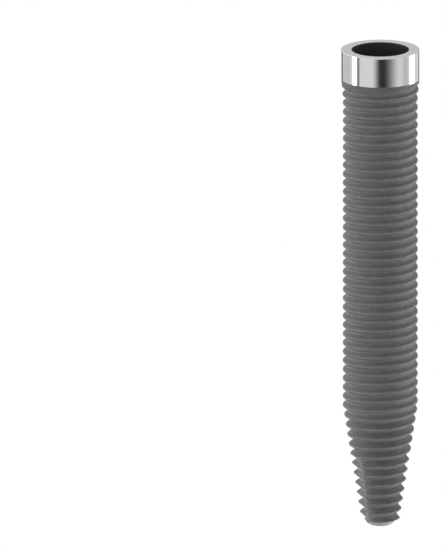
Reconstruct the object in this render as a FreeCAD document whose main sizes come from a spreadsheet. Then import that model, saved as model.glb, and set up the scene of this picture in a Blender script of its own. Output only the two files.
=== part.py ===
"""Dental implant: one piece of titanium bar, turned, threaded, fluted and broached.

The piece stands on its platform. The platform's face is at z = 0, centred on the origin, and the
tip points up along +Z. Sizes are millimetres and degrees.
"""
import FreeCAD, Part
import math
import os

import Sketcher
from FreeCAD import Vector

NODE = "implant_body"

# Points that one turn of a thread line is drawn through.
POINTS_PER_TURN = 14

# Half the stretch, in turns, that a tangent of a thread line is measured over.
TANGENT_STEP = 0.0001

# Sides of the driver's socket.
HEXAGON_SIDES = 6

# A revolved feature goes all the way round.
FULL_TURN = 360

# A step that changes the volume by less than this, in cubic millimetres, has missed the solid.
SMALLEST_CHANGE = 1e-6

# The driving dimensions. Heights are measured from the platform, and lengths from the tip back.
SIZES = {
    # The platform and the collar
    "platform_diameter": 4.3,
    "edge_break": 0.04,
    "collar_height": 1.63,
    # The lip below the collar, and the cone on which the thread's groove runs out
    "lip_step": 0.025,
    "lip_length": 0.22,
    "runout_length": 0.4,
    "runout_sink": 0.04,
    # The thread. Its crests lie inside the collar by the step, and flare up to the inset from it.
    "overall_length": 26.8,
    "collar_step": 0.1,
    "flare_inset": 0.01,
    "flare_length": 1.1,
    "thread_pitch": 0.5,
    "thread_depth": 0.27,
    # The taper, with a coarser and deeper thread
    "taper_length": 6.8,
    "taper_angle": 8.65,
    "taper_pitch": 0.55,
    "taper_depth": 0.34,
    # The sloping shoulder that ends the thread, and the nose inside it
    "shoulder_width": 0.264,
    "shoulder_angle": 25.0,
    "nose_height": 0.32,
    "nose_root_length": 1.1,
    # The flutes. Each is cut by the side of a milling cutter, whose lower corner is chamfered.
    "flute_count": 2,
    "flute_azimuth": -22.5,
    "flute_length": 3.9,
    "flute_angle": 7.8,
    "flute_depth": 0.3,
    "cutter_diameter": 4.8,
    "cutter_chamfer": 0.5,
    # The connection
    "socket_wall": 0.585,
    "mouth_break": 0.015,
    "socket_taper_angle": 1.05,
    "socket_depth": 2.75,
    "hex_across_flats": 2.42,
    "hex_depth": 1.15,
    "screw_hole_diameter": 2.0,
    "screw_hole_depth": 6.5,
    "drill_point_angle": 118.0,
    # How far a cut reaches past the metal that it takes away
    "cutting_margin": 1.0,
}

# What several features share, worked out from the driving dimensions.
DERIVED = {
    "platform_radius": "platform_diameter / 2",
    "crest_radius": "platform_radius - collar_step",
    "flare_rise": "collar_step - flare_inset",
    "flare_end": "collar_height + flare_length",
    "runout_rim": "platform_radius - lip_step",
    "runout_start": "collar_height + lip_length",
    "runout_end": "runout_start + runout_length",
    "runout_radius": "crest_radius - thread_depth - runout_sink",
    "stock_radius": "platform_radius + cutting_margin",
    "stock_end": "overall_length + thread_overrun + cutting_margin",
    "taper_start": "overall_length - taper_length",
    "taper_slope": "tan(taper_angle * 1 deg)",
    "thread_overrun": "2 * taper_pitch",
    "shoulder_height": "overall_length - nose_height",
    "shoulder_crest": "crest_radius - (shoulder_height - taper_start) * taper_slope",
    "shoulder_rim": "shoulder_height - (stock_radius - nose_radius) * tan(shoulder_angle * 1 deg)",
    "nose_radius": "shoulder_crest - shoulder_width",
    "nose_root": "shoulder_height - nose_root_length",
    "nose_centre": "overall_length - (nose_radius ^ 2 + nose_height ^ 2) / (2 * nose_height)",
    "flute_start": "overall_length - flute_length",
    "flute_crest": "crest_radius - (flute_start - taper_start) * taper_slope",
    "flute_slope": "tan(flute_angle * 1 deg)",
    "flute_floor": "flute_crest - flute_depth",
    "flute_floor_end": "flute_floor - (stock_end - flute_start) * flute_slope",
    "cutter_offset": "cutter_diameter / 2 / cos(flute_angle * 1 deg)",
    "cutter_low": "flute_start - cutter_chamfer",
    "socket_mouth_radius": "platform_radius - socket_wall",
    "socket_draw": "(socket_depth - mouth_break) * tan(socket_taper_angle * 1 deg)",
    "socket_floor_radius": "socket_mouth_radius - socket_draw",
    "screw_hole_radius": "screw_hole_diameter / 2",
    "drill_point_end": "screw_hole_depth + screw_hole_radius / tan(drill_point_angle / 2 * 1 deg)",
    "hex_corner_radius": f"hex_across_flats / 2 / cos(180 deg / {HEXAGON_SIDES})",
}


def add_sheet(doc):
    """Put the driving dimensions, and what is worked out from them, in a spreadsheet."""
    sheet = doc.addObject("Spreadsheet::Sheet", "sizes")
    cells = {name: str(value) for name, value in SIZES.items()}
    cells.update({name: f"={formula}" for name, formula in DERIVED.items()})
    for row, name in enumerate(cells, start=1):
        sheet.set(f"A{row}", name)
        sheet.setAlias(f"B{row}", name)
    for row, content in enumerate(cells.values(), start=1):
        sheet.set(f"B{row}", content)
    doc.recompute()
    return sheet


class ThreadForm:
    """Crest and root lines of the thread: flared to the collar, parallel, then conical.

    A place along a line is a number of turns from taper_start, where the crest is on +X.
    """

    def __init__(self, sheet):
        self.crest_radius = sheet.get("crest_radius")
        self.flare_rise = sheet.get("flare_rise")
        self.flare_end = sheet.get("flare_end")
        self.flare_length = sheet.get("flare_length")
        self.taper_start = sheet.get("taper_start")
        self.taper_slope = sheet.get("taper_slope")
        self.pitch = sheet.get("thread_pitch")
        self.taper_pitch = sheet.get("taper_pitch")
        self.depth = sheet.get("thread_depth")
        self.taper_depth = sheet.get("taper_depth")

    def height(self, turns):
        """Height of the crest line."""
        pitch = self.pitch if turns < 0 else self.taper_pitch
        return self.taper_start + turns * pitch

    def radius(self, height):
        """Radius of the crests at a height: flared to the collar, then level, then tapered."""
        flare = min(1.0, max(0.0, (self.flare_end - height) / self.flare_length))
        taper = self.taper_slope * max(0.0, height - self.taper_start)
        return self.crest_radius + flare * self.flare_rise - taper

    def depth_at(self, height):
        """Depth of the thread at a height. It grows to the taper's over one turn."""
        blend = (height - self.taper_start) / self.taper_pitch
        return self.depth + min(1.0, max(0.0, blend)) * (self.taper_depth - self.depth)

    def crest(self, turns):
        """Point of the crest line."""
        height = self.height(turns)
        return self.point(self.radius(height), turns, height)

    def root(self, turns):
        """Point of the root line, half-way up from this crest to the next."""
        height = (self.height(turns) + self.height(turns + 1)) / 2
        return self.point(self.radius(height) - self.depth_at(height), turns, height)

    @staticmethod
    def point(radius, turns, height):
        """Point at a radius and a height, a number of turns round from +X."""
        azimuth = math.tau * turns
        return Vector(radius * math.cos(azimuth), radius * math.sin(azimuth), height)


def thread_line(line, turn):
    """One turn of a crest or root line, as a smooth edge."""
    places = [turn + index / POINTS_PER_TURN for index in range(POINTS_PER_TURN + 1)]
    tangents = []
    for place in places:
        # A tangent is taken inside the turn, because the line has a kink at taper_start.
        behind = max(turn, place - TANGENT_STEP)
        ahead = min(turn + 1, place + TANGENT_STEP)
        tangents.append((line(ahead) - line(behind)) / (ahead - behind))
    curve = Part.BSplineCurve()
    curve.interpolate(
        Points=[line(place) for place in places],
        Parameters=places,
        Tangents=tangents,
        TangentFlags=[True] * len(places),
        Scale=False,
    )
    return curve.toShape()


def thread_end(form, turn, crest_edge):
    """Faces that close one end: a spiral floor from the crest to the axis, and the step in it."""
    low = Vector(0, 0, form.height(turn))
    high = Vector(0, 0, form.height(turn + 1))
    axis = Part.LineSegment(low, high).toShape()
    outline = [low, form.crest(turn), form.root(turn), form.crest(turn + 1), high, low]
    return [Part.makeRuledSurface(crest_edge, axis), Part.Face(Part.makePolygon(outline))]


def add_thread(doc, sheet):
    """The threaded shank: a right-hand V thread and its core, as one closed solid.

    The thread is one unbroken line with two pitches and two depths, so its flanks are ruled turn
    by turn between the crest line and the root line, and sewn.
    """
    form = ThreadForm(sheet)
    # The first turn lies wholly inside the collar, and the last one wholly past the tip. With its
    # spiral end the thread then reaches up to two turns past the tip, and the shoulder's cut takes
    # that off.
    inside = form.taper_start - sheet.get("collar_height") + form.pitch
    first = -math.ceil(inside / form.pitch)
    past = sheet.get("overall_length") - form.taper_start
    last = math.ceil(past / form.taper_pitch)
    crests = [thread_line(form.crest, turn) for turn in range(first, last + 1)]
    roots = [thread_line(form.root, turn) for turn in range(first, last)]
    faces = thread_end(form, first, crests[0]) + thread_end(form, last, crests[-1])
    for below, root, above in zip(crests, roots, crests[1:]):
        faces.append(Part.makeRuledSurface(below, root))
        faces.append(Part.makeRuledSurface(root, above))
    shell = Part.Shell(faces)
    shell.sewShape()
    solid = Part.Solid(shell)
    if solid.Volume < 0:
        solid.reverse()
    thread = doc.addObject("Part::Feature", "threaded_shank")
    thread.Shape = solid
    return thread


def origin_feature(body, role):
    """One of the planes or axes of a body's origin."""
    return next(item for item in body.Origin.OriginFeatures if item.Role == role)


def add_sketch(body, name, plane):
    """An empty sketch on one of the body's own origin planes."""
    sketch = body.newObject("Sketcher::SketchObject", name)
    sketch.AttachmentSupport = [(origin_feature(body, plane), "")]
    sketch.MapMode = "FlatFace"
    return sketch


def hold_point(sketch, side, end, spot):
    """Hold one end of a side at a spot: its distances across and along, as sheet formulas."""
    for kind, formula, axis in zip(("DistanceX", "DistanceY"), spot, (-2, -1)):
        if formula == "0":
            sketch.addConstraint(Sketcher.Constraint("PointOnObject", side, end, axis))
            continue
        value = float(sketch.evalExpression(formula))
        index = sketch.addConstraint(Sketcher.Constraint(kind, -1, 1, side, end, value))
        sketch.setExpression(f"Constraints[{index}]", formula)


def draw_outline(sketch, corners, arc_centre=None, centre_on=None):
    """Draw a closed line, anticlockwise through corners given as pairs of sheet formulas.

    With an arc_centre, the last side is an arc about it, and the centre stays on centre_on,
    which is a side or one of the sketch's axes.
    """
    spots = [
        Vector(sketch.evalExpression(across), sketch.evalExpression(along), 0)
        for across, along in corners
    ]
    ends = spots[1:] + spots[:1]
    last = len(spots) - 1
    for side, (start, end) in enumerate(zip(spots, ends)):
        if side == last and arc_centre:
            centre = Vector(*(sketch.evalExpression(formula) for formula in arc_centre), 0)
            reach = start - centre
            opening = math.atan2(reach.y, reach.x)
            closing = math.atan2(end.y - centre.y, end.x - centre.x)
            circle = Part.Circle(centre, Vector(0, 0, 1), reach.Length)
            sketch.addGeometry(Part.ArcOfCircle(circle, opening, closing))
            sketch.addConstraint(Sketcher.Constraint("PointOnObject", side, 3, centre_on))
        else:
            sketch.addGeometry(Part.LineSegment(start, end))
    for side in range(len(spots)):
        following = (side + 1) % len(spots)
        sketch.addConstraint(Sketcher.Constraint("Coincident", side, 2, following, 1))
    for side, spot in enumerate(corners):
        hold_point(sketch, side, 1, spot)


def revolve(body, kind, name, sketch, axis):
    """Turn a sketch once round a line of it: a Revolution adds material, a Groove cuts it."""
    feature = body.newObject(f"PartDesign::{kind}", name)
    feature.Profile = sketch
    feature.ReferenceAxis = (sketch, [axis])
    feature.Angle = FULL_TURN
    return feature


def add_collar(body):
    """The plain collar, the lip below it, and the cone on which the thread's groove runs out."""
    sketch = add_sketch(body, "collar_section", "XZ_Plane")
    corners = [
        ("0", "0"),
        ("sizes.platform_radius - sizes.edge_break", "0"),
        ("sizes.platform_radius", "sizes.edge_break"),
        ("sizes.platform_radius", "sizes.collar_height"),
        ("sizes.runout_rim", "sizes.runout_start"),
        ("sizes.runout_radius", "sizes.runout_end"),
        ("0", "sizes.runout_end"),
    ]
    draw_outline(sketch, corners)
    return revolve(body, "Revolution", "collar", sketch, "V_Axis")


def face_shoulder(body):
    """The sloping cut that ends the thread."""
    sketch = add_sketch(body, "shoulder_section", "XZ_Plane")
    corners = [
        ("0", "sizes.shoulder_height"),
        ("sizes.nose_radius", "sizes.shoulder_height"),
        ("sizes.stock_radius", "sizes.shoulder_rim"),
        ("sizes.stock_radius", "sizes.stock_end"),
        ("0", "sizes.stock_end"),
    ]
    draw_outline(sketch, corners)
    return revolve(body, "Groove", "shoulder", sketch, "V_Axis")


def add_nose(body):
    """The domed nose, on a plain core that fills the last roots."""
    sketch = add_sketch(body, "nose_section", "XZ_Plane")
    corners = [
        ("0", "sizes.overall_length"),
        ("0", "sizes.nose_root"),
        ("sizes.nose_radius", "sizes.nose_root"),
        ("sizes.nose_radius", "sizes.shoulder_height"),
    ]
    draw_outline(sketch, corners, arc_centre=("0", "sizes.nose_centre"), centre_on=-2)
    return revolve(body, "Revolution", "nose", sketch, "V_Axis")


def cut_flutes(body):
    """Cutting flutes: the path of a milling cutter along the taper, repeated round the axis."""
    sketch = add_sketch(body, "flute_section", "XZ_Plane")
    sketch.setExpression("AttachmentOffset.Rotation.Axis.x", "0")
    sketch.setExpression("AttachmentOffset.Rotation.Axis.y", "1")
    sketch.setExpression("AttachmentOffset.Rotation.Axis.z", "0")
    sketch.setExpression("AttachmentOffset.Rotation.Angle", "sizes.flute_azimuth")
    low_offset = "sizes.cutter_offset + sizes.cutter_chamfer * sizes.flute_slope"
    corners = [
        (f"sizes.flute_floor + {low_offset}", "sizes.cutter_low"),
        ("sizes.flute_floor_end + sizes.cutter_offset", "sizes.stock_end"),
        ("sizes.flute_floor_end", "sizes.stock_end"),
        ("sizes.flute_floor", "sizes.flute_start"),
        ("sizes.flute_floor + sizes.cutter_chamfer", "sizes.cutter_low"),
    ]
    draw_outline(sketch, corners)
    flute = revolve(body, "Groove", "flute", sketch, "Edge1")
    body.Document.recompute()
    flutes = body.newObject("PartDesign::PolarPattern", "flutes")
    flutes.Originals = [flute]
    flutes.Axis = (origin_feature(body, "Z_Axis"), [""])
    flutes.Angle = FULL_TURN
    flutes.setExpression("Occurrences", "sizes.flute_count")
    return flutes


def bore_socket(body):
    """The connection's conical socket, and the screw's hole with its drill point."""
    sketch = add_sketch(body, "socket_section", "XZ_Plane")
    corners = [
        ("0", "-sizes.mouth_break"),
        ("sizes.socket_mouth_radius + 2 * sizes.mouth_break", "-sizes.mouth_break"),
        ("sizes.socket_mouth_radius", "sizes.mouth_break"),
        ("sizes.socket_floor_radius", "sizes.socket_depth"),
        ("sizes.screw_hole_radius", "sizes.socket_depth"),
        ("sizes.screw_hole_radius", "sizes.screw_hole_depth"),
        ("0", "sizes.drill_point_end"),
    ]
    draw_outline(sketch, corners)
    return revolve(body, "Groove", "socket", sketch, "V_Axis")


def broach_hexagon(body):
    """The hexagon below the socket's floor, which the driver turns the implant by."""
    sketch = add_sketch(body, "hexagon_outline", "XY_Plane")
    sketch.setExpression("AttachmentOffset.Base.z", "sizes.socket_depth")
    turns = [f"({corner} * 360 deg / {HEXAGON_SIDES})" for corner in range(HEXAGON_SIDES)]
    reach = "sizes.hex_corner_radius"
    draw_outline(sketch, [(f"{reach} * cos{turn}", f"{reach} * sin{turn}") for turn in turns])
    hexagon = body.newObject("PartDesign::Pocket", "hexagon")
    hexagon.Profile = sketch
    hexagon.Reversed = True
    hexagon.setExpression("Length", "sizes.hex_depth")
    return hexagon


def build():
    """Build the document and return its body."""
    doc = FreeCAD.newDocument("dental_implant")
    sheet = add_sheet(doc)
    body = doc.addObject("PartDesign::Body", NODE)
    body.Label = NODE
    body.BaseFeature = add_thread(doc, sheet)
    doc.recompute()
    steps = [add_collar, face_shoulder, add_nose, cut_flutes, bore_socket, broach_hexagon]
    for step in steps:
        before = body.Shape.Volume
        feature = step(body)
        body.Tip = feature
        doc.recompute()
        if abs(body.Shape.Volume - before) < SMALLEST_CHANGE:
            raise RuntimeError(f"{feature.Name} changed nothing")
    return doc, body


def check(doc, body):
    """Stop if any object failed, or if the body isn't one valid solid."""
    for item in doc.Objects:
        if {"Invalid", "Error"} & set(item.State):
            raise RuntimeError(f"{item.Name} failed: {item.State}")
    shape = body.Shape
    if shape.isNull() or not shape.isValid() or len(shape.Solids) != 1:
        raise RuntimeError(f"{body.Label} isn't one valid solid")


document, implant = build()
check(document, implant)
os.makedirs("parts", exist_ok=True)
implant.Shape.exportStep(f"parts/{implant.Label}.step")
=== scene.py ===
"""Looks of the dental implant: its fine surface, its finishes, a plain studio and the camera.

The implant stands on its platform, with the tip up, as its solid does. One closed skin stands for
the solid: it has the same outline, with the rounded crests and the full nose of the real implant.
The camera looks at it from just below the platform and is turned over, so the platform is at the
top of the picture. Lengths are in millimetres and angles in degrees unless a comment says otherwise.
"""

import logging
import math
from dataclasses import dataclass, field
from enum import Enum

import bpy
import numpy as np
from mathutils import Matrix, Vector


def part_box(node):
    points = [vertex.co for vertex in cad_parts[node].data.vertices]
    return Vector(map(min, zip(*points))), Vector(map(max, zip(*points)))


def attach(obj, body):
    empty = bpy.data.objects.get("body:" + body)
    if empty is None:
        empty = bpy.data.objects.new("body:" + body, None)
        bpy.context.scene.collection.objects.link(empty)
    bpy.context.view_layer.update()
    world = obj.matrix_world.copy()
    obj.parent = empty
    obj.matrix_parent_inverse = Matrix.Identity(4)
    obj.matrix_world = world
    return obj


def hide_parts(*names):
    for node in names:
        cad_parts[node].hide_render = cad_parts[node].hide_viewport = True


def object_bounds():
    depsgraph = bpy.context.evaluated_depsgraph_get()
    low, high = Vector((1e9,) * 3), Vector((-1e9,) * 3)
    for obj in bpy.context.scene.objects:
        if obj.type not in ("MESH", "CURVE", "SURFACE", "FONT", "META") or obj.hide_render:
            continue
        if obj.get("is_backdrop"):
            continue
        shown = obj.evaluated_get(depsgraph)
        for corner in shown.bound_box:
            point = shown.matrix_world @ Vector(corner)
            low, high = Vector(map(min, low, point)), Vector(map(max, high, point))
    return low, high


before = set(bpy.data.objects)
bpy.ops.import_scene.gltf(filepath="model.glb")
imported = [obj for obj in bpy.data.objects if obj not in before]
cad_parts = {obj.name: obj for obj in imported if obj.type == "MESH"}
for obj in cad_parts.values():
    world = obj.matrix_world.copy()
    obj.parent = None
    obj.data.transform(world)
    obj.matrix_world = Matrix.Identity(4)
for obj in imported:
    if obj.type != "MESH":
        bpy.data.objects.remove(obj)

LOG = logging.getLogger("dental_implant")

NODE = "implant_body"
BODY = "root"

# The mesh attribute that holds how deep a point lies in its groove, 0 on a crest and 1 in a root. The
# blasted finish paints a highlight, shade and fill light from it.
PAINTED_LIGHT_ATTRIBUTE = "groove_depth_for_painted_light"

# Metres in a millimetre.
MM = 0.001

# Pixels of the photograph's frame.
PICTURE_WIDTH = 442
PICTURE_HEIGHT = 552

# Angle at which the camera looks up at the platform. The collar's upright wall mirrors to it what
# stands as far above the floor's level as the camera is below it.
CAMERA_DROP = 14.5

# The sRGB curve: a straight line below its knee, and a power above it.
SRGB_KNEE = 0.04045
SRGB_SLOPE = 12.92
SRGB_OFFSET = 0.055
SRGB_POWER = 2.4

# Sockets of a colour mix: its two colours, and its result.
MIX_FIRST = 6
MIX_SECOND = 7
MIX_RESULT = 2

# Radians that Blender's wave texture runs through in one unit of its scale.
WAVE_ADVANCE = 20


class Finish(Enum):
    """The finishes of the skin. The value is the finish's place in the mesh's material list."""

    POLISHED = 0
    BLASTED = 1
    BORED = 2
    TURNED = 3


def linear_colour(colour: str) -> tuple[float, float, float, float]:
    """Turn an sRGB hex colour to linear.

    Args:
        colour: Six hex digits after a number sign.

    Returns:
        Red, green, blue and an alpha of one.
    """
    channels = [int(colour[start:start + 2], 16) / 255 for start in (1, 3, 5)]
    red, green, blue = (
        part / SRGB_SLOPE if part <= SRGB_KNEE else ((part + SRGB_OFFSET) / (1 + SRGB_OFFSET)) ** SRGB_POWER
        for part in channels
    )
    return (red, green, blue, 1.0)


def add_node(
    tree: bpy.types.NodeTree,
    kind: str,
    links: dict[str | int, bpy.types.NodeSocket] | None = None,
    values: dict[str | int, object] | None = None,
    **settings: str,
) -> bpy.types.Node:
    """Add a node with its settings, socket values and incoming links.

    Args:
        tree: The node tree to add it to.
        kind: The node's type name without "ShaderNode".
        links: Output socket for each input that is linked, by the input's name or number.
        values: Default value for each input that is set, by its name or number.
        settings: The node's own properties.

    Returns:
        The new node.
    """
    node = tree.nodes.new(f"ShaderNode{kind}")
    for name, value in settings.items():
        setattr(node, name, value)
    for name, value in (values or {}).items():
        node.inputs[name].default_value = value
    for name, socket in (links or {}).items():
        tree.links.new(socket, node.inputs[name])
    return node


def new_material(name: str) -> tuple[bpy.types.Material, bpy.types.NodeTree]:
    """Make an empty node material.

    Args:
        name: The material's name.

    Returns:
        The material and its node tree.
    """
    material = bpy.data.materials.new(name)
    material.use_nodes = True
    material.node_tree.nodes.clear()
    return material, material.node_tree


def per_metre(size_mm: float) -> float:
    """Scale of a texture whose features are a number of millimetres apart."""
    return 1 / (size_mm * MM)


def spread_about(
    tree: bpy.types.NodeTree, factor: bpy.types.NodeSocket, middle: float, spread: float
) -> bpy.types.NodeSocket:
    """Turn a texture's factor into a value that varies about a middle.

    Args:
        tree: The node tree to add the node to.
        factor: The texture's factor, from 0 to 1.
        middle: The value at a factor of a half.
        spread: How far the value goes to each side.

    Returns:
        The output socket with that value.
    """
    ends = {"To Min": middle - spread, "To Max": middle + spread}
    return add_node(tree, "MapRange", {"Value": factor}, ends).outputs["Result"]


@dataclass(frozen=True)
class BlastedTitanium:
    """Commercially pure titanium, grit-blasted and acid-etched.

    The eye sees a matt, even mid grey with no mirror image. It lightens towards the outline, where
    the roughened metal is seen at a low angle, and a fine grain breaks up its surface.
    """

    # Tones from a crest down to a root: a painted highlight on the crest, painted shade beside it, then pale
    # painted fill light that lifts the root's shade.
    painted_light_tones: tuple[tuple[float, str], ...] = (
        (0.0, "#939393"), (0.08, "#7d7d7d"), (0.3, "#848484"), (0.65, "#969696"), (1.0, "#c4c4c4"),
    )
    # The blast leaves faint darker patches. Their colour multiplies the tone.
    patch_colour: str = "#d4d4d4"
    patch_mm: float = 0.25
    patch_detail: float = 2.0
    roughness: float = 0.88
    roughness_spread: float = 0.08
    # The craters of the grit are 0.03 mm across, too fine for the picture, so they are drawn larger.
    grain_mm: float = 0.09
    grain_depth_mm: float = 0.006
    grain_detail: float = 3.0
    grain_mix: float = 0.6
    bump_strength: float = 0.6

    def make(self) -> bpy.types.Material:
        """Build the material.

        Returns:
            The new material.
        """
        material, tree = new_material("blasted_titanium")
        place = add_node(tree, "TexCoord").outputs["Object"]
        grain = add_node(
            tree, "TexNoise", {"Vector": place},
            {"Scale": per_metre(self.grain_mm), "Detail": self.grain_detail, "Roughness": self.grain_mix},
        )
        patch = add_node(
            tree, "TexNoise", {"Vector": place},
            {"Scale": per_metre(self.patch_mm), "Detail": self.patch_detail},
        )
        # Painted light: the tone follows the depth in the groove, with a painted highlight on the crest,
        # painted shade beside it and painted fill light in the root.
        painted_light_depth = add_node(tree, "Attribute", attribute_name=PAINTED_LIGHT_ATTRIBUTE)
        shade = add_node(tree, "ValToRGB", {"Fac": painted_light_depth.outputs["Fac"]})
        stops = shade.color_ramp.elements
        for _ in self.painted_light_tones[len(stops):]:
            stops.new(1.0)
        for stop, (place_down, colour) in zip(stops, self.painted_light_tones):
            stop.position = place_down
            stop.color = linear_colour(colour)
        tone = add_node(
            tree, "Mix", {"Factor": patch.outputs["Fac"], MIX_FIRST: shade.outputs["Color"]},
            {MIX_SECOND: linear_colour(self.patch_colour)}, data_type="RGBA", blend_type="MULTIPLY",
        )
        gloss = spread_about(tree, grain.outputs["Fac"], self.roughness, self.roughness_spread)
        bump = add_node(
            tree, "Bump", {"Height": grain.outputs["Fac"]},
            {"Strength": self.bump_strength, "Distance": self.grain_depth_mm * MM},
        )
        shader = add_node(
            tree, "BsdfPrincipled",
            {"Base Color": tone.outputs[MIX_RESULT], "Roughness": gloss, "Normal": bump.outputs["Normal"]},
            {"Metallic": 1.0},
        )
        add_node(tree, "OutputMaterial", {"Surface": shader.outputs["BSDF"]})
        return material


@dataclass(frozen=True)
class TurnedTitanium:
    """Bare titanium as the lathe leaves it: fine rings, polished or not.

    The eye sees a bright, neutral grey metal. Where it is polished it mirrors the studio in sharp
    bands, and the lathe's rings blur them a little along the axis.
    """

    name: str
    colour: str
    roughness: float
    # The tool's rings are 0.02 mm apart, too fine for the picture, so they are drawn wider.
    feed_mm: float = 0.377
    ring_depth_mm: float = 0.0002
    ring_wander: float = 0.4
    ring_detail: float = 1.0
    smear_mm: float = 0.5
    smear_detail: float = 2.0
    roughness_spread: float = 0.03
    bump_strength: float = 0.5

    def make(self) -> bpy.types.Material:
        """Build the material.

        Returns:
            The new material.
        """
        material, tree = new_material(self.name)
        place = add_node(tree, "TexCoord").outputs["Object"]
        scale = per_metre(self.feed_mm) * math.tau / WAVE_ADVANCE
        rings = add_node(
            tree, "TexWave", {"Vector": place},
            {"Scale": scale, "Distortion": self.ring_wander, "Detail": self.ring_detail},
            wave_type="BANDS", bands_direction="Z",
        )
        smear = add_node(
            tree, "TexNoise", {"Vector": place},
            {"Scale": per_metre(self.smear_mm), "Detail": self.smear_detail},
        )
        gloss = spread_about(tree, smear.outputs["Fac"], self.roughness, self.roughness_spread)
        bump = add_node(
            tree, "Bump", {"Height": rings.outputs["Fac"]},
            {"Strength": self.bump_strength, "Distance": self.ring_depth_mm * MM},
        )
        shader = add_node(
            tree, "BsdfPrincipled",
            {"Roughness": gloss, "Normal": bump.outputs["Normal"]},
            {"Metallic": 1.0, "Base Color": linear_colour(self.colour)},
        )
        add_node(tree, "OutputMaterial", {"Surface": shader.outputs["BSDF"]})
        return material


FINISHES: dict[Finish, BlastedTitanium | TurnedTitanium] = {
    # The platform and the collar: a bright mirror with sharp bands.
    Finish.POLISHED: TurnedTitanium("polished_titanium", "#cbcbcb", roughness=0.1),
    Finish.BLASTED: BlastedTitanium(),
    # The bore: an even dark grey without bands. The dark grey is painted shade for the deep bore.
    Finish.BORED: TurnedTitanium("painted_shade_bore_titanium", "#4a4a4a", roughness=0.5),
    # The nose: a soft, pale sheen.
    Finish.TURNED: TurnedTitanium("turned_titanium", "#989898", roughness=0.65),
}


class Skin:
    """One closed surface, drawn as rings of points from the bottom of the bore to the tip.

    Each ring has one point in each column, and the columns go round the axis from +X towards +Y.
    Joined in that order, the faces look out of the metal.
    """

    # Faces that meet at more than this angle have a sharp edge between them.
    sharp_angle: float = 32.0

    def __init__(self, columns: int) -> None:
        """Start an empty skin.

        Args:
            columns: The number of columns of points.
        """
        self.columns = columns
        self.azimuths = np.arange(columns) * math.tau / columns
        self.points: list[tuple[float, float, float]] = []
        self.painted_light_depths: list[float] = []
        self.faces: list[list[int]] = []
        self.finishes: list[int] = []

    def ring(
        self, radius: float | np.ndarray, height: float | np.ndarray, painted_light_depth: float | np.ndarray = 0.0
    ) -> np.ndarray:
        """Add a ring.

        Args:
            radius: Distance from the axis in millimetres, for all columns or for each.
            height: Height in millimetres, for all columns or for each.
            painted_light_depth: Depth in the groove, from which the blasted finish paints light and shade,
                for all columns or for each.

        Returns:
            The numbers of its points.
        """
        radii = np.broadcast_to(radius, self.columns)
        heights = np.broadcast_to(height, self.columns)
        first = len(self.points)
        across = radii * np.cos(self.azimuths) * MM
        along = radii * np.sin(self.azimuths) * MM
        self.points.extend(zip(across.tolist(), along.tolist(), (heights * MM).tolist()))
        self.painted_light_depths.extend(np.broadcast_to(painted_light_depth, self.columns).tolist())
        return np.arange(first, first + self.columns)

    def pole(self, height: float) -> np.ndarray:
        """Add one point on the axis, as a ring whose columns all share it.

        Args:
            height: Height in millimetres.

        Returns:
            The point's number, once for each column.
        """
        self.points.append((0.0, 0.0, height * MM))
        self.painted_light_depths.append(0.0)
        return np.full(self.columns, len(self.points) - 1)

    def join(self, rows: np.ndarray, rise: int, finish: Finish) -> None:
        """Fill the faces between rows of points.

        Args:
            rows: Point numbers, one row for each ring. Points that coincide share a number.
            rise: Rows by which the surface climbs in one turn, or 0 where the rings are flat.
            finish: The finish of the faces.
        """
        count = len(rows) - rise
        closed = np.hstack([rows[:count], rows[rise:rise + count, :1]])
        corners = np.stack([closed[:-1, :-1], closed[:-1, 1:], closed[1:, 1:], closed[1:, :-1]], axis=-1)
        for face in corners.reshape(-1, 4).tolist():
            kept = [point for at, point in enumerate(face) if point != face[at - 1]]
            if len(set(kept)) > 2:
                self.faces.append(kept)
                self.finishes.append(finish.value)

    def build(self, name: str) -> bpy.types.Object:
        """Make the object, smooth but for its sharp edges.

        Args:
            name: The object's name.

        Returns:
            The new object, with a material for each finish.
        """
        # Points of rows that stay in a flat ring are in no face, and go.
        used = sorted({point for face in self.faces for point in face})
        place = {point: at for at, point in enumerate(used)}
        faces = [[place[point] for point in face] for face in self.faces]
        mesh = bpy.data.meshes.new(name)
        mesh.from_pydata([self.points[point] for point in used], [], faces)
        # The depth in the groove goes on the mesh for the blasted finish's painted light and shade.
        painted_light_depths = mesh.attributes.new(PAINTED_LIGHT_ATTRIBUTE, "FLOAT", "POINT")
        painted_light_depths.data.foreach_set("value", [self.painted_light_depths[point] for point in used])
        for finish in Finish:
            mesh.materials.append(FINISHES[finish].make())
        mesh.polygons.foreach_set("material_index", self.finishes)
        mesh.shade_smooth()
        mesh.set_sharp_from_angle(angle=math.radians(self.sharp_angle))
        mesh.update()
        piece = bpy.data.objects.new(name, mesh)
        bpy.context.scene.collection.objects.link(piece)
        return piece


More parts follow.
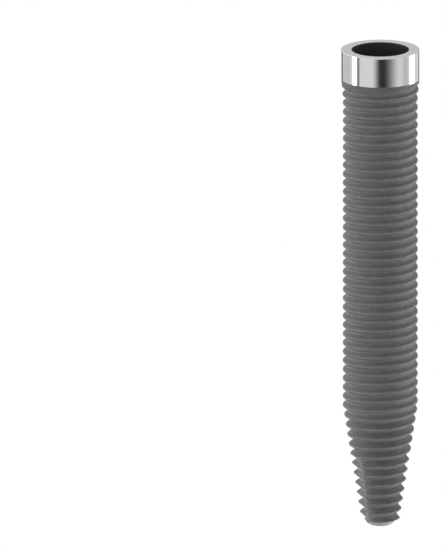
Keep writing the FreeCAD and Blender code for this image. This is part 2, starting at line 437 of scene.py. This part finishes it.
@dataclass
class Connection:
    """The inside of the implant: a conical socket, a hexagon for the driver and the screw's hole."""

    mouth_radius: float = 1.565
    taper_angle: float = 1.05
    socket_depth: float = 2.75
    hex_across_flats: float = 2.42
    hex_depth: float = 1.15
    hole_radius: float = 1.0
    hole_depth: float = 6.5
    drill_point_angle: float = 118.0
    edge_break: float = 0.015
    hex_sides: int = 6

    def hexagon(self, skin: Skin) -> np.ndarray:
        """Distance from the axis to the hexagon's wall.

        Args:
            skin: The skin whose columns are asked for.

        Returns:
            That distance for each column.
        """
        side = math.tau / self.hex_sides
        off_middle = skin.azimuths % side - side / 2
        return self.hex_across_flats / 2 / np.cos(off_middle)

    def draw(self, skin: Skin) -> np.ndarray:
        """Add the surface, from the drill point out to the mouth.

        Args:
            skin: The skin to add it to.

        Returns:
            The ring round the mouth, in the platform's face.
        """
        drill_rise = self.hole_radius / math.tan(math.radians(self.drill_point_angle / 2))
        floor_radius = self.mouth_radius - self.socket_depth * math.tan(math.radians(self.taper_angle))
        hex_end = self.socket_depth + self.hex_depth
        rings = [
            skin.pole(self.hole_depth + drill_rise),
            skin.ring(self.hole_radius, self.hole_depth),
            skin.ring(self.hole_radius, hex_end),
            skin.ring(self.hexagon(skin), hex_end),
            skin.ring(self.hexagon(skin), self.socket_depth),
            skin.ring(floor_radius, self.socket_depth),
            skin.ring(self.mouth_radius, self.edge_break),
            skin.ring(self.mouth_radius + self.edge_break, 0.0),
        ]
        skin.join(np.array(rings), 0, Finish.BORED)
        return rings[-1]


@dataclass
class Collar:
    """The flat platform and the plain polished collar, with their edges broken."""

    radius: float
    height: float = 1.63
    top_break: float = 0.012
    low_break: float = 0.02
    break_steps: int = 4
    # Width of the rings that keep the plain faces true beside their rounded edges.
    hold: float = 0.01

    def draw(self, skin: Skin, mouth: np.ndarray) -> np.ndarray:
        """Add the surface, from the socket's mouth to the collar's far edge.

        Args:
            skin: The skin to add it to.
            mouth: The ring round the socket's mouth.

        Returns:
            The ring at the collar's far edge.
        """
        rings = [mouth, skin.ring(self.radius - self.top_break - self.hold, 0.0)]
        for step in range(self.break_steps + 1):
            turn = step / self.break_steps * math.pi / 2
            reach = self.radius - self.top_break * (1 - math.sin(turn))
            rings.append(skin.ring(reach, self.top_break * (1 - math.cos(turn))))
        rings.append(skin.ring(self.radius, self.top_break + self.hold))
        rings.append(skin.ring(self.radius, self.height - self.low_break - self.hold))
        rings.append(skin.ring(self.radius, self.height - self.low_break))
        rings.append(skin.ring(self.radius - self.low_break, self.height))
        skin.join(np.array(rings), 0, Finish.POLISHED)
        return rings[-1]


@dataclass
class ThreadForm:
    """Outline of one pitch of the thread: a rounded crest, straight flanks and a sharp root."""

    pitch: float
    # Angle between a flank and the axis.
    flank_angle: float
    # Share of the pitch that the rounded crest takes up.
    crest_share: float


@dataclass
class Shank:
    """The blasted shank: the run-out cone, the thread, its taper, the flutes and the shoulder."""

    collar: Collar
    end: float
    crest_radius: float
    parallel: ThreadForm = field(
        default_factory=lambda: ThreadForm(pitch=0.5, flank_angle=57.5, crest_share=0.38)
    )
    tapered: ThreadForm = field(
        default_factory=lambda: ThreadForm(pitch=0.55, flank_angle=55.0, crest_share=0.25)
    )
    flare_rise: float = 0.09
    flare_length: float = 1.1
    runout_rim: float = 2.125
    runout_start: float = 1.85
    runout_radius: float = 1.74
    runout_end: float = 2.25
    taper_start: float = 20.0
    taper_angle: float = 8.65
    shoulder_angle: float = 25.0
    nose_radius: float = 0.8
    nose_root: float = 25.38
    flute_count: int = 2
    flute_azimuth: float = -22.5
    flute_start: float = 22.9
    flute_angle: float = 7.8
    flute_depth: float = 0.3
    cutter_radius: float = 2.4
    # Depth of a groove whose root takes the full pale painted fill light.
    painted_fill_depth: float = 0.27
    # Share of the painted-light depth that the taper's wider grooves lose.
    taper_painted_light_cut: float = 0.2
    # Least painted-light depth beside the collar, which paints shade on the shank under the collar.
    collar_painted_shade: float = 0.2
    # Rows that follow the thread: on each side of the crest, and down each flank.
    crest_rows: int = 3
    flank_rows: int = 2
    # A row that comes this close to the collar or to the shoulder stays in the flat ring there.
    sliver: float = 0.01

    def phases(self) -> list[tuple[int, float]]:
        """Rows of one pitch from crest to crest: the side of the crest, and the place on that side.

        Returns:
            For each row the sign of the side, and a place that runs from 0 at the crest through 1
            at the crest's end to 2 at the root.
        """
        falling = [step / self.crest_rows for step in range(self.crest_rows)]
        falling += [1 + step / self.flank_rows for step in range(self.flank_rows)]
        rising = [(-1, place) for place in reversed(falling[1:])]
        return [(1, place) for place in falling] + [(1, 2.0)] + rising

    def crest_height(self, turns: np.ndarray) -> np.ndarray:
        """Height of the crest a number of turns from the taper's start."""
        return self.taper_start + np.where(turns < 0, self.parallel.pitch, self.tapered.pitch) * turns

    def crest_reach(self, height: np.ndarray) -> np.ndarray:
        """Distance of the crests from the axis: flared towards the collar, and tapered to the tip.

        Args:
            height: Heights to give it for.

        Returns:
            That distance for each height.
        """
        slope = math.tan(math.radians(self.taper_angle))
        flare = np.clip(1 - (height - self.collar.height) / self.flare_length, 0.0, 1.0)
        fall = slope * np.maximum(0.0, height - self.taper_start)
        return self.crest_radius + flare * self.flare_rise - fall

    def outline(self, place: float, blend: np.ndarray) -> tuple[np.ndarray, np.ndarray]:
        """Point of the thread's outline.

        Args:
            place: From 0 at the crest through 1 at the crest's end to 2 at the root.
            blend: From 0 for the parallel thread to 1 for the tapered one, for each column.

        Returns:
            The share of the half pitch that the point is from the crest, and its depth in
            half pitches.
        """
        share = self.parallel.crest_share + blend * (self.tapered.crest_share - self.parallel.crest_share)
        angle = np.radians(
            self.parallel.flank_angle + blend * (self.tapered.flank_angle - self.parallel.flank_angle)
        )
        bend = share / np.sin(angle)
        if place <= 1:
            return bend * np.sin(place * angle), bend * (1 - np.cos(place * angle))
        along = share + (place - 1) * (1 - share)
        return along, bend * (1 - np.cos(angle)) + (along - share) * np.tan(angle)

    def flute_wall(self, azimuth: np.ndarray, height: np.ndarray) -> np.ndarray:
        """Distance from the axis to the nearest flute's wall.

        Each flute is the path of a milling cutter's side. The cutter leans a little less than the
        taper, and its lower corner is chamfered.

        Args:
            azimuth: Angles round the axis, in radians.
            height: Height for each of them.

        Returns:
            That distance for each of them, or infinity beside the flutes.
        """
        rise = height - self.flute_start
        crest = float(self.crest_reach(np.array(self.flute_start)))
        lean = math.tan(math.radians(self.flute_angle))
        middle_reach = crest - self.flute_depth + self.cutter_radius - np.maximum(rise, 0.0) * lean
        radius = np.maximum(self.cutter_radius + np.minimum(rise, 0.0), 0.0)
        wall = np.full(np.broadcast(azimuth, height).shape, np.inf)
        for flute in range(self.flute_count):
            middle = math.radians(self.flute_azimuth) + flute * math.tau / self.flute_count
            off = azimuth - middle
            inside = radius ** 2 - (middle_reach * np.sin(off)) ** 2
            near = middle_reach * np.cos(off) - np.sqrt(np.maximum(inside, 0.0))
            wall = np.minimum(wall, np.where((inside > 0) & (np.cos(off) > 0), near, np.inf))
        return wall

    def reach(self, height: np.ndarray, thread: np.ndarray) -> np.ndarray:
        """Distance from the axis to the shank's surface beside the flutes.

        Args:
            height: The point's height.
            thread: Distance from the axis to the thread's own surface.

        Returns:
            That distance after the run-out cone, the shoulder and the nose's root.
        """
        rim = self.collar.radius - self.collar.low_break
        ends = [self.collar.height, self.runout_start, self.runout_end]
        cone = np.interp(height, ends, [rim, self.runout_rim, self.runout_radius], right=0.0)
        shoulder = self.nose_radius + (self.end - height) / math.tan(math.radians(self.shoulder_angle))
        core = np.where(height > self.nose_root, self.nose_radius, 0.0)
        return np.maximum(np.minimum(np.maximum(thread, cone), shoulder), core)

    def draw(self, skin: Skin, start: np.ndarray) -> np.ndarray:
        """Add the surface, from the collar's far edge to the nose.

        The rows of points follow the thread, so each one climbs by a pitch in each turn. Where a
        row has not yet left the collar, or has passed the shoulder, it stays in the flat ring there.

        Args:
            skin: The skin to add it to.
            start: The ring at the collar's far edge.

        Returns:
            The ring at the foot of the nose.
        """
        tip = np.full(skin.columns, self.end)
        shoulder = self.reach(tip, np.zeros(skin.columns))
        end = skin.ring(np.minimum(shoulder, self.flute_wall(skin.azimuths, tip)), tip)
        first = math.floor((self.collar.height - self.taper_start) / self.parallel.pitch) - 1
        last = math.ceil((self.end - self.taper_start) / self.tapered.pitch)
        column_turns = skin.azimuths / math.tau
        rows = []
        for turn in range(first, last + 1):
            crest = self.crest_height(turn + column_turns)
            following = self.crest_height(turn + 1 + column_turns)
            blend = np.clip(turn + column_turns, 0.0, 1.0)
            for side, place in self.phases():
                along, depth = self.outline(place, blend)
                half_pitch = (following - crest) / 2
                height = crest + along * half_pitch if side > 0 else following - along * half_pitch
                thread = self.crest_reach(height) - depth * half_pitch
                low = height < self.collar.height + self.sliver
                high = height > self.end - self.sliver
                whole = self.reach(height, thread)
                radius = np.minimum(whole, self.flute_wall(skin.azimuths, height))
                # Painted light: the crest gets a painted highlight and the root a pale painted fill light,
                # by the depth in the groove.
                painted_light_depth = np.minimum(1.0, (self.crest_reach(height) - whole) / self.painted_fill_depth)
                # Painted shade: beside the collar the shank is painted darker, as if in the collar's shadow.
                painted_light_depth = np.maximum(painted_light_depth, np.where(height < self.runout_end, self.collar_painted_shade, 0.0))
                row = skin.ring(radius, height, painted_light_depth * (1 - self.taper_painted_light_cut * blend))
                rows.append(np.where(low, start, np.where(high, end, row)))
        skin.join(np.array(rows), len(self.phases()), Finish.BLASTED)
        return end


@dataclass
class Nose:
    """The low dome of the tip, half an ellipse in section, into which the flutes run out."""

    shank: Shank
    length: float
    rings: int = 9

    def draw(self, skin: Skin, foot: np.ndarray) -> None:
        """Add the surface, from the nose's foot to its top.

        Args:
            skin: The skin to add it to.
            foot: The ring at the foot of the nose.
        """
        rise = self.length - self.shank.end
        rows = [foot]
        for step in range(1, self.rings):
            angle = math.pi / 2 * step / self.rings
            height = np.full(skin.columns, self.shank.end + rise * math.sin(angle))
            wall = self.shank.flute_wall(skin.azimuths, height)
            rows.append(skin.ring(np.minimum(self.shank.nose_radius * math.cos(angle), wall), height))
        rows.append(skin.pole(self.length))
        skin.join(np.array(rows), 0, Finish.TURNED)


@dataclass
class ImplantBody:
    """The whole implant, sized from the solid that it stands for."""

    # Columns round the axis, a whole number for each side of the hexagon.
    columns: int = 144
    collar_step: float = 0.1
    nose_height: float = 0.32
    # The solid's box is measured on flat facets, so the radius is rounded to hundredths.
    radius_digits: int = 2

    def build(self) -> bpy.types.Object:
        """Build the implant, and let it stand for the solid.

        Returns:
            The implant.
        """
        lowest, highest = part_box(NODE)
        radius = round((highest.x - lowest.x) / 2 / MM, self.radius_digits)
        length = highest.z / MM
        skin = Skin(self.columns)
        connection = Connection()
        collar = Collar(radius)
        shank = Shank(collar, end=length - self.nose_height, crest_radius=radius - self.collar_step)
        nose = Nose(shank, length)
        mouth = connection.draw(skin)
        edge = collar.draw(skin, mouth)
        foot = shank.draw(skin, edge)
        nose.draw(skin, foot)
        piece = skin.build("implant")
        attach(piece, BODY)
        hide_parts(NODE)
        return piece


@dataclass(frozen=True)
class WhiteWorld:
    """A white surround. The camera and the metal see it white; it lights matt things more softly."""

    # Strength for matt things, and for what the metal mirrors from high above.
    soft_strength: float = 0.62
    overhead_strength: float = 0.75
    # Sines of the elevations between which the surround dims.
    dim_from: float = 0.3
    dim_to: float = 0.8

    def make(self) -> None:
        """Build the world."""
        world = bpy.data.worlds.new("white_surround")
        bpy.context.scene.world = world
        world.use_nodes = True
        tree = world.node_tree
        tree.nodes.clear()
        path = add_node(tree, "LightPath")
        way = add_node(tree, "TexCoord").outputs["Generated"]
        height = add_node(tree, "SeparateXYZ", {"Vector": way}).outputs["Z"]
        dimming = {
            "From Min": self.dim_from,
            "From Max": self.dim_to,
            "To Min": 1.0,
            "To Max": self.overhead_strength,
        }
        mirrored_strength = add_node(
            tree, "MapRange", {"Value": height}, dimming, interpolation_type="SMOOTHSTEP"
        )
        soft = self.background(tree, {"Strength": self.soft_strength})
        mirrored = self.background(tree)
        tree.links.new(mirrored_strength.outputs["Result"], mirrored.inputs["Strength"])
        white = self.background(tree, {"Strength": 1.0})
        in_metal = add_node(
            tree, "MixShader",
            {
                0: path.outputs["Is Glossy Ray"],
                1: soft.outputs["Background"],
                2: mirrored.outputs["Background"],
            },
        )
        seen = add_node(
            tree, "Math", {0: path.outputs["Is Camera Ray"], 1: path.outputs["Is Transmission Ray"]},
            operation="MAXIMUM",
        )
        mix = add_node(
            tree, "MixShader",
            {0: seen.outputs[0], 1: in_metal.outputs["Shader"], 2: white.outputs["Background"]},
        )
        add_node(tree, "OutputWorld", {"Surface": mix.outputs["Shader"]})

    def background(self, tree: bpy.types.NodeTree, values: dict[str, float] | None = None) -> bpy.types.Node:
        """Add a white background."""
        return add_node(tree, "Background", values={"Color": (1.0, 1.0, 1.0, 1.0), **(values or {})})


@dataclass
class Floor:
    """A plain pale floor. It is seen from above only, and is open under the platform."""

    opening: float
    reach: float = 1500.0
    colour: str = "#e9e9e8"
    roughness: float = 0.9
    specular: float = 0.2
    segments: int = 96

    def build(self) -> bpy.types.Object:
        """Build the floor, with the opening round the axis.

        The metal does not mirror it, and it lets the lamps' low light through.

        Returns:
            The floor.
        """
        points = []
        for radius in (self.opening, self.reach):
            for step in range(self.segments):
                angle = step * math.tau / self.segments
                points.append((radius * MM * math.cos(angle), radius * MM * math.sin(angle), 0.0))
        faces = []
        for step in range(self.segments):
            after = (step + 1) % self.segments
            faces.append((step, step + self.segments, after + self.segments, after))
        mesh = bpy.data.meshes.new("studio_floor")
        mesh.from_pydata(points, [], faces)
        mesh.materials.append(self.finish())
        floor = bpy.data.objects.new("studio_floor", mesh)
        floor.visible_glossy = False
        floor.visible_shadow = False
        bpy.context.scene.collection.objects.link(floor)
        floor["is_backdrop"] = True
        return floor

    def finish(self) -> bpy.types.Material:
        """Make its finish: matt painted board, clear from below.

        Returns:
            The new material.
        """
        material, tree = new_material("matt_white_board")
        below = add_node(tree, "NewGeometry").outputs["Backfacing"]
        paint = {
            "Base Color": linear_colour(self.colour),
            "Roughness": self.roughness,
            "Specular IOR Level": self.specular,
        }
        board = add_node(tree, "BsdfPrincipled", values=paint)
        clear = add_node(tree, "BsdfTransparent")
        mix = add_node(
            tree, "MixShader", {0: below, 1: board.outputs["BSDF"], 2: clear.outputs["BSDF"]}
        )
        add_node(tree, "OutputMaterial", {"Surface": mix.outputs["Shader"]})
        return material


def direction(bearing: float, elevation: float) -> Vector:
    """Direction from the implant.

    Args:
        bearing: Degrees from the camera's side, growing towards the picture's right.
        elevation: Degrees above the floor.

    Returns:
        A unit vector.
    """
    turn, lift = math.radians(bearing), math.radians(elevation)
    return Vector((-math.sin(turn) * math.cos(lift), -math.cos(turn) * math.cos(lift), math.sin(lift)))


@dataclass
class Softbox:
    """A soft lamp, which also shows as a bright band in the polished metal."""

    name: str
    bearing: float
    elevation: float
    # Its size as seen from the implant.
    width_deg: float
    height_deg: float
    # Its brightness, where 1 is the white of the surround.
    radiance: float
    distance: float = 500.0

    def build(self) -> bpy.types.Object:
        """Build the lamp, facing the implant.

        Returns:
            The lamp.
        """
        lamp = bpy.data.lights.new(self.name, "AREA")
        lamp.shape = "RECTANGLE"
        reach = self.distance * MM
        lamp.size = 2 * reach * math.tan(math.radians(self.width_deg / 2))
        lamp.size_y = 2 * reach * math.tan(math.radians(self.height_deg / 2))
        lamp.energy = self.radiance * math.pi * lamp.size * lamp.size_y
        holder = bpy.data.objects.new(self.name, lamp)
        towards = direction(self.bearing, self.elevation)
        holder.location = towards * reach
        holder.rotation_mode = "QUATERNION"
        holder.rotation_quaternion = towards.to_track_quat("Z", "Y")
        holder.visible_camera = False
        bpy.context.scene.collection.objects.link(holder)
        return holder


@dataclass
class Card:
    """A matt card that the polished metal mirrors as a dark band with soft sides."""

    name: str
    bearing: float
    elevation: float
    # Its size as seen from the implant.
    width_deg: float
    height_deg: float
    colour: str
    # Shares of the card's width over which each side fades away. A fade can't be without width.
    left_fade: float = 0.001
    right_fade: float = 0.001
    distance: float = 450.0

    def build(self) -> bpy.types.Object:
        """Build the card, facing the implant.

        Returns:
            The card.
        """
        reach = self.distance * MM
        half = reach * math.tan(math.radians(self.width_deg / 2))
        tall = reach * math.tan(math.radians(self.height_deg / 2))
        mesh = bpy.data.meshes.new(self.name)
        corners = [(-half, -tall, 0.0), (half, -tall, 0.0), (half, tall, 0.0), (-half, tall, 0.0)]
        mesh.from_pydata(corners, [], [(0, 1, 2, 3)])
        mesh.materials.append(self.finish(half))
        card = bpy.data.objects.new(self.name, mesh)
        towards = direction(self.bearing, self.elevation)
        card.location = towards * reach
        card.rotation_mode = "QUATERNION"
        card.rotation_quaternion = towards.to_track_quat("Z", "Y")
        card.visible_camera = False
        bpy.context.scene.collection.objects.link(card)
        card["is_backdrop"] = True
        return card

    def finish(self, half: float) -> bpy.types.Material:
        """Make its finish: a matt card that thins out to clear at its sides.

        Args:
            half: Half of the card's width, in metres.

        Returns:
            The new material.
        """
        material, tree = new_material(self.name)
        place = add_node(tree, "TexCoord").outputs["Object"]
        across = add_node(tree, "SeparateXYZ", {"Vector": place}).outputs["X"]
        # Left is the picture's left, where the card's own +X points.
        left = add_node(
            tree, "MapRange", {"Value": across},
            {"From Min": half, "From Max": half - 2 * half * self.left_fade},
            interpolation_type="SMOOTHSTEP",
        )
        right = add_node(
            tree, "MapRange", {"Value": across},
            {"From Min": -half, "From Max": -half + 2 * half * self.right_fade},
            interpolation_type="SMOOTHSTEP",
        )
        cover = add_node(
            tree, "Math", {0: left.outputs["Result"], 1: right.outputs["Result"]}, operation="MINIMUM"
        )
        # It glows evenly, as if lit by a lamp of its own, so the metal mirrors the tone as written.
        paint = add_node(tree, "Emission", values={"Color": linear_colour(self.colour)})
        clear = add_node(tree, "BsdfTransparent")
        mix = add_node(
            tree, "MixShader", {0: cover.outputs[0], 1: clear.outputs["BSDF"], 2: paint.outputs["Emission"]}
        )
        add_node(tree, "OutputMaterial", {"Surface": mix.outputs["Shader"]})
        return material


@dataclass
class PhotoCamera:
    """The camera, as far away as the photograph's, which shows no perspective."""

    pixels_per_mm: float = 18.335
    elevation: float = -CAMERA_DROP
    # Where the middle of the platform's face is in the picture.
    platform_x: float = 380.3
    platform_y: float = 49.4
    distance: float = 200.0
    nearest: float = 1.0
    farthest: float = 5000.0

    def build(self) -> bpy.types.Object:
        """Build the camera and make it the scene's.

        Returns:
            The camera.
        """
        data = bpy.data.cameras.new("photo_camera")
        data.type = "ORTHO"
        data.sensor_fit = "VERTICAL"
        data.ortho_scale = PICTURE_HEIGHT / self.pixels_per_mm * MM
        data.clip_start = self.nearest * MM
        data.clip_end = self.farthest * MM
        back = direction(0.0, self.elevation)
        right = Vector((-1.0, 0.0, 0.0))
        up = back.cross(right)
        off_x = (PICTURE_WIDTH / 2 - self.platform_x) / self.pixels_per_mm * MM
        off_y = (self.platform_y - PICTURE_HEIGHT / 2) / self.pixels_per_mm * MM
        camera = bpy.data.objects.new("photo_camera", data)
        place = Matrix.Translation(back * self.distance * MM + right * off_x + up * off_y)
        turn = Matrix((right, up, back)).transposed().to_4x4()
        camera.matrix_world = place @ turn
        bpy.context.scene.collection.objects.link(camera)
        bpy.context.scene.camera = camera
        return camera


def studio_items() -> list[Softbox | Card]:
    """List the lamps and the cards.

    Each has its name, bearing, elevation, width, height, and then its brightness or its colour.

    Returns:
        First the lamps and then the cards, none of them built yet.
    """
    level = CAMERA_DROP
    return [
        # The two tall strips show as the collar's white bands and light the shank's sides.
        Softbox("left_strip", -82.0, level, 13.0, 108.0, 3.8),
        # The panels lift the left outline, the right side, the middle and the flanks that face the
        # platform.
        Softbox("left_rear", -132.0, -26.0, 60.0, 56.0, 1.4),
        Softbox("right_high", 50.0, 50.0, 40.0, 35.0, 1.7),
        Softbox("right_strip", 108.4, level, 20.5, 100.0, 4.6),
        Softbox("fill_panel", -43.0, level, 38.0, 60.0, 0.04),
        Softbox("low_panel", -80.0, -60.0, 60.0, 60.0, 1.0),
        # The collar's black band, and the greys beside its white ones.
        Card("dark_card", 17.75, level, 79.0, 16.0, "#3a3a3a", left_fade=0.325, right_fade=0.59),
        Card("left_stand", -65.75, level, 11.5, 60.0, "#808080", right_fade=0.75),
        Card("right_stand", 78.0, level, 26.0, 60.0, "#e4e4e4", left_fade=0.4, right_fade=0.2),
        # The thin dark lines and pale greys at the collar's two outlines.
        Card("far_stand", -150.5, level, 12.0, 60.0, "#404040"),
        Card("near_stand", -120.0, level, 40.0, 20.0, "#ebebeb"),
        Card("edge_stand", 153.0, level, 10.0, 60.0, "#808080"),
        # The grey that the platform's flat face mirrors.
        Card("low_card", 180.0, -level, 60.0, 20.0, "#e1e1e1"),
    ]


def box_lists() -> list[list[float]]:
    """The shown object's lowest and highest corners as plain lists."""
    return [list(corner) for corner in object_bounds()]


def main() -> None:
    """Build the implant, the studio and the camera, and note the sizes."""
    logging.basicConfig(level=logging.INFO)
    solid_box = box_lists()
    piece = ImplantBody().build()
    LOG.info("%s: %d points, %d faces", piece.name, len(piece.data.vertices), len(piece.data.polygons))
    bpy.context.scene.view_settings.view_transform = "Standard"
    WhiteWorld().make()
    Floor(opening=solid_box[1][0] / MM).build()
    for item in studio_items():
        LOG.info("studio: %s", item.build().name)
    PhotoCamera().build()


if __name__ == "__main__":
    main()
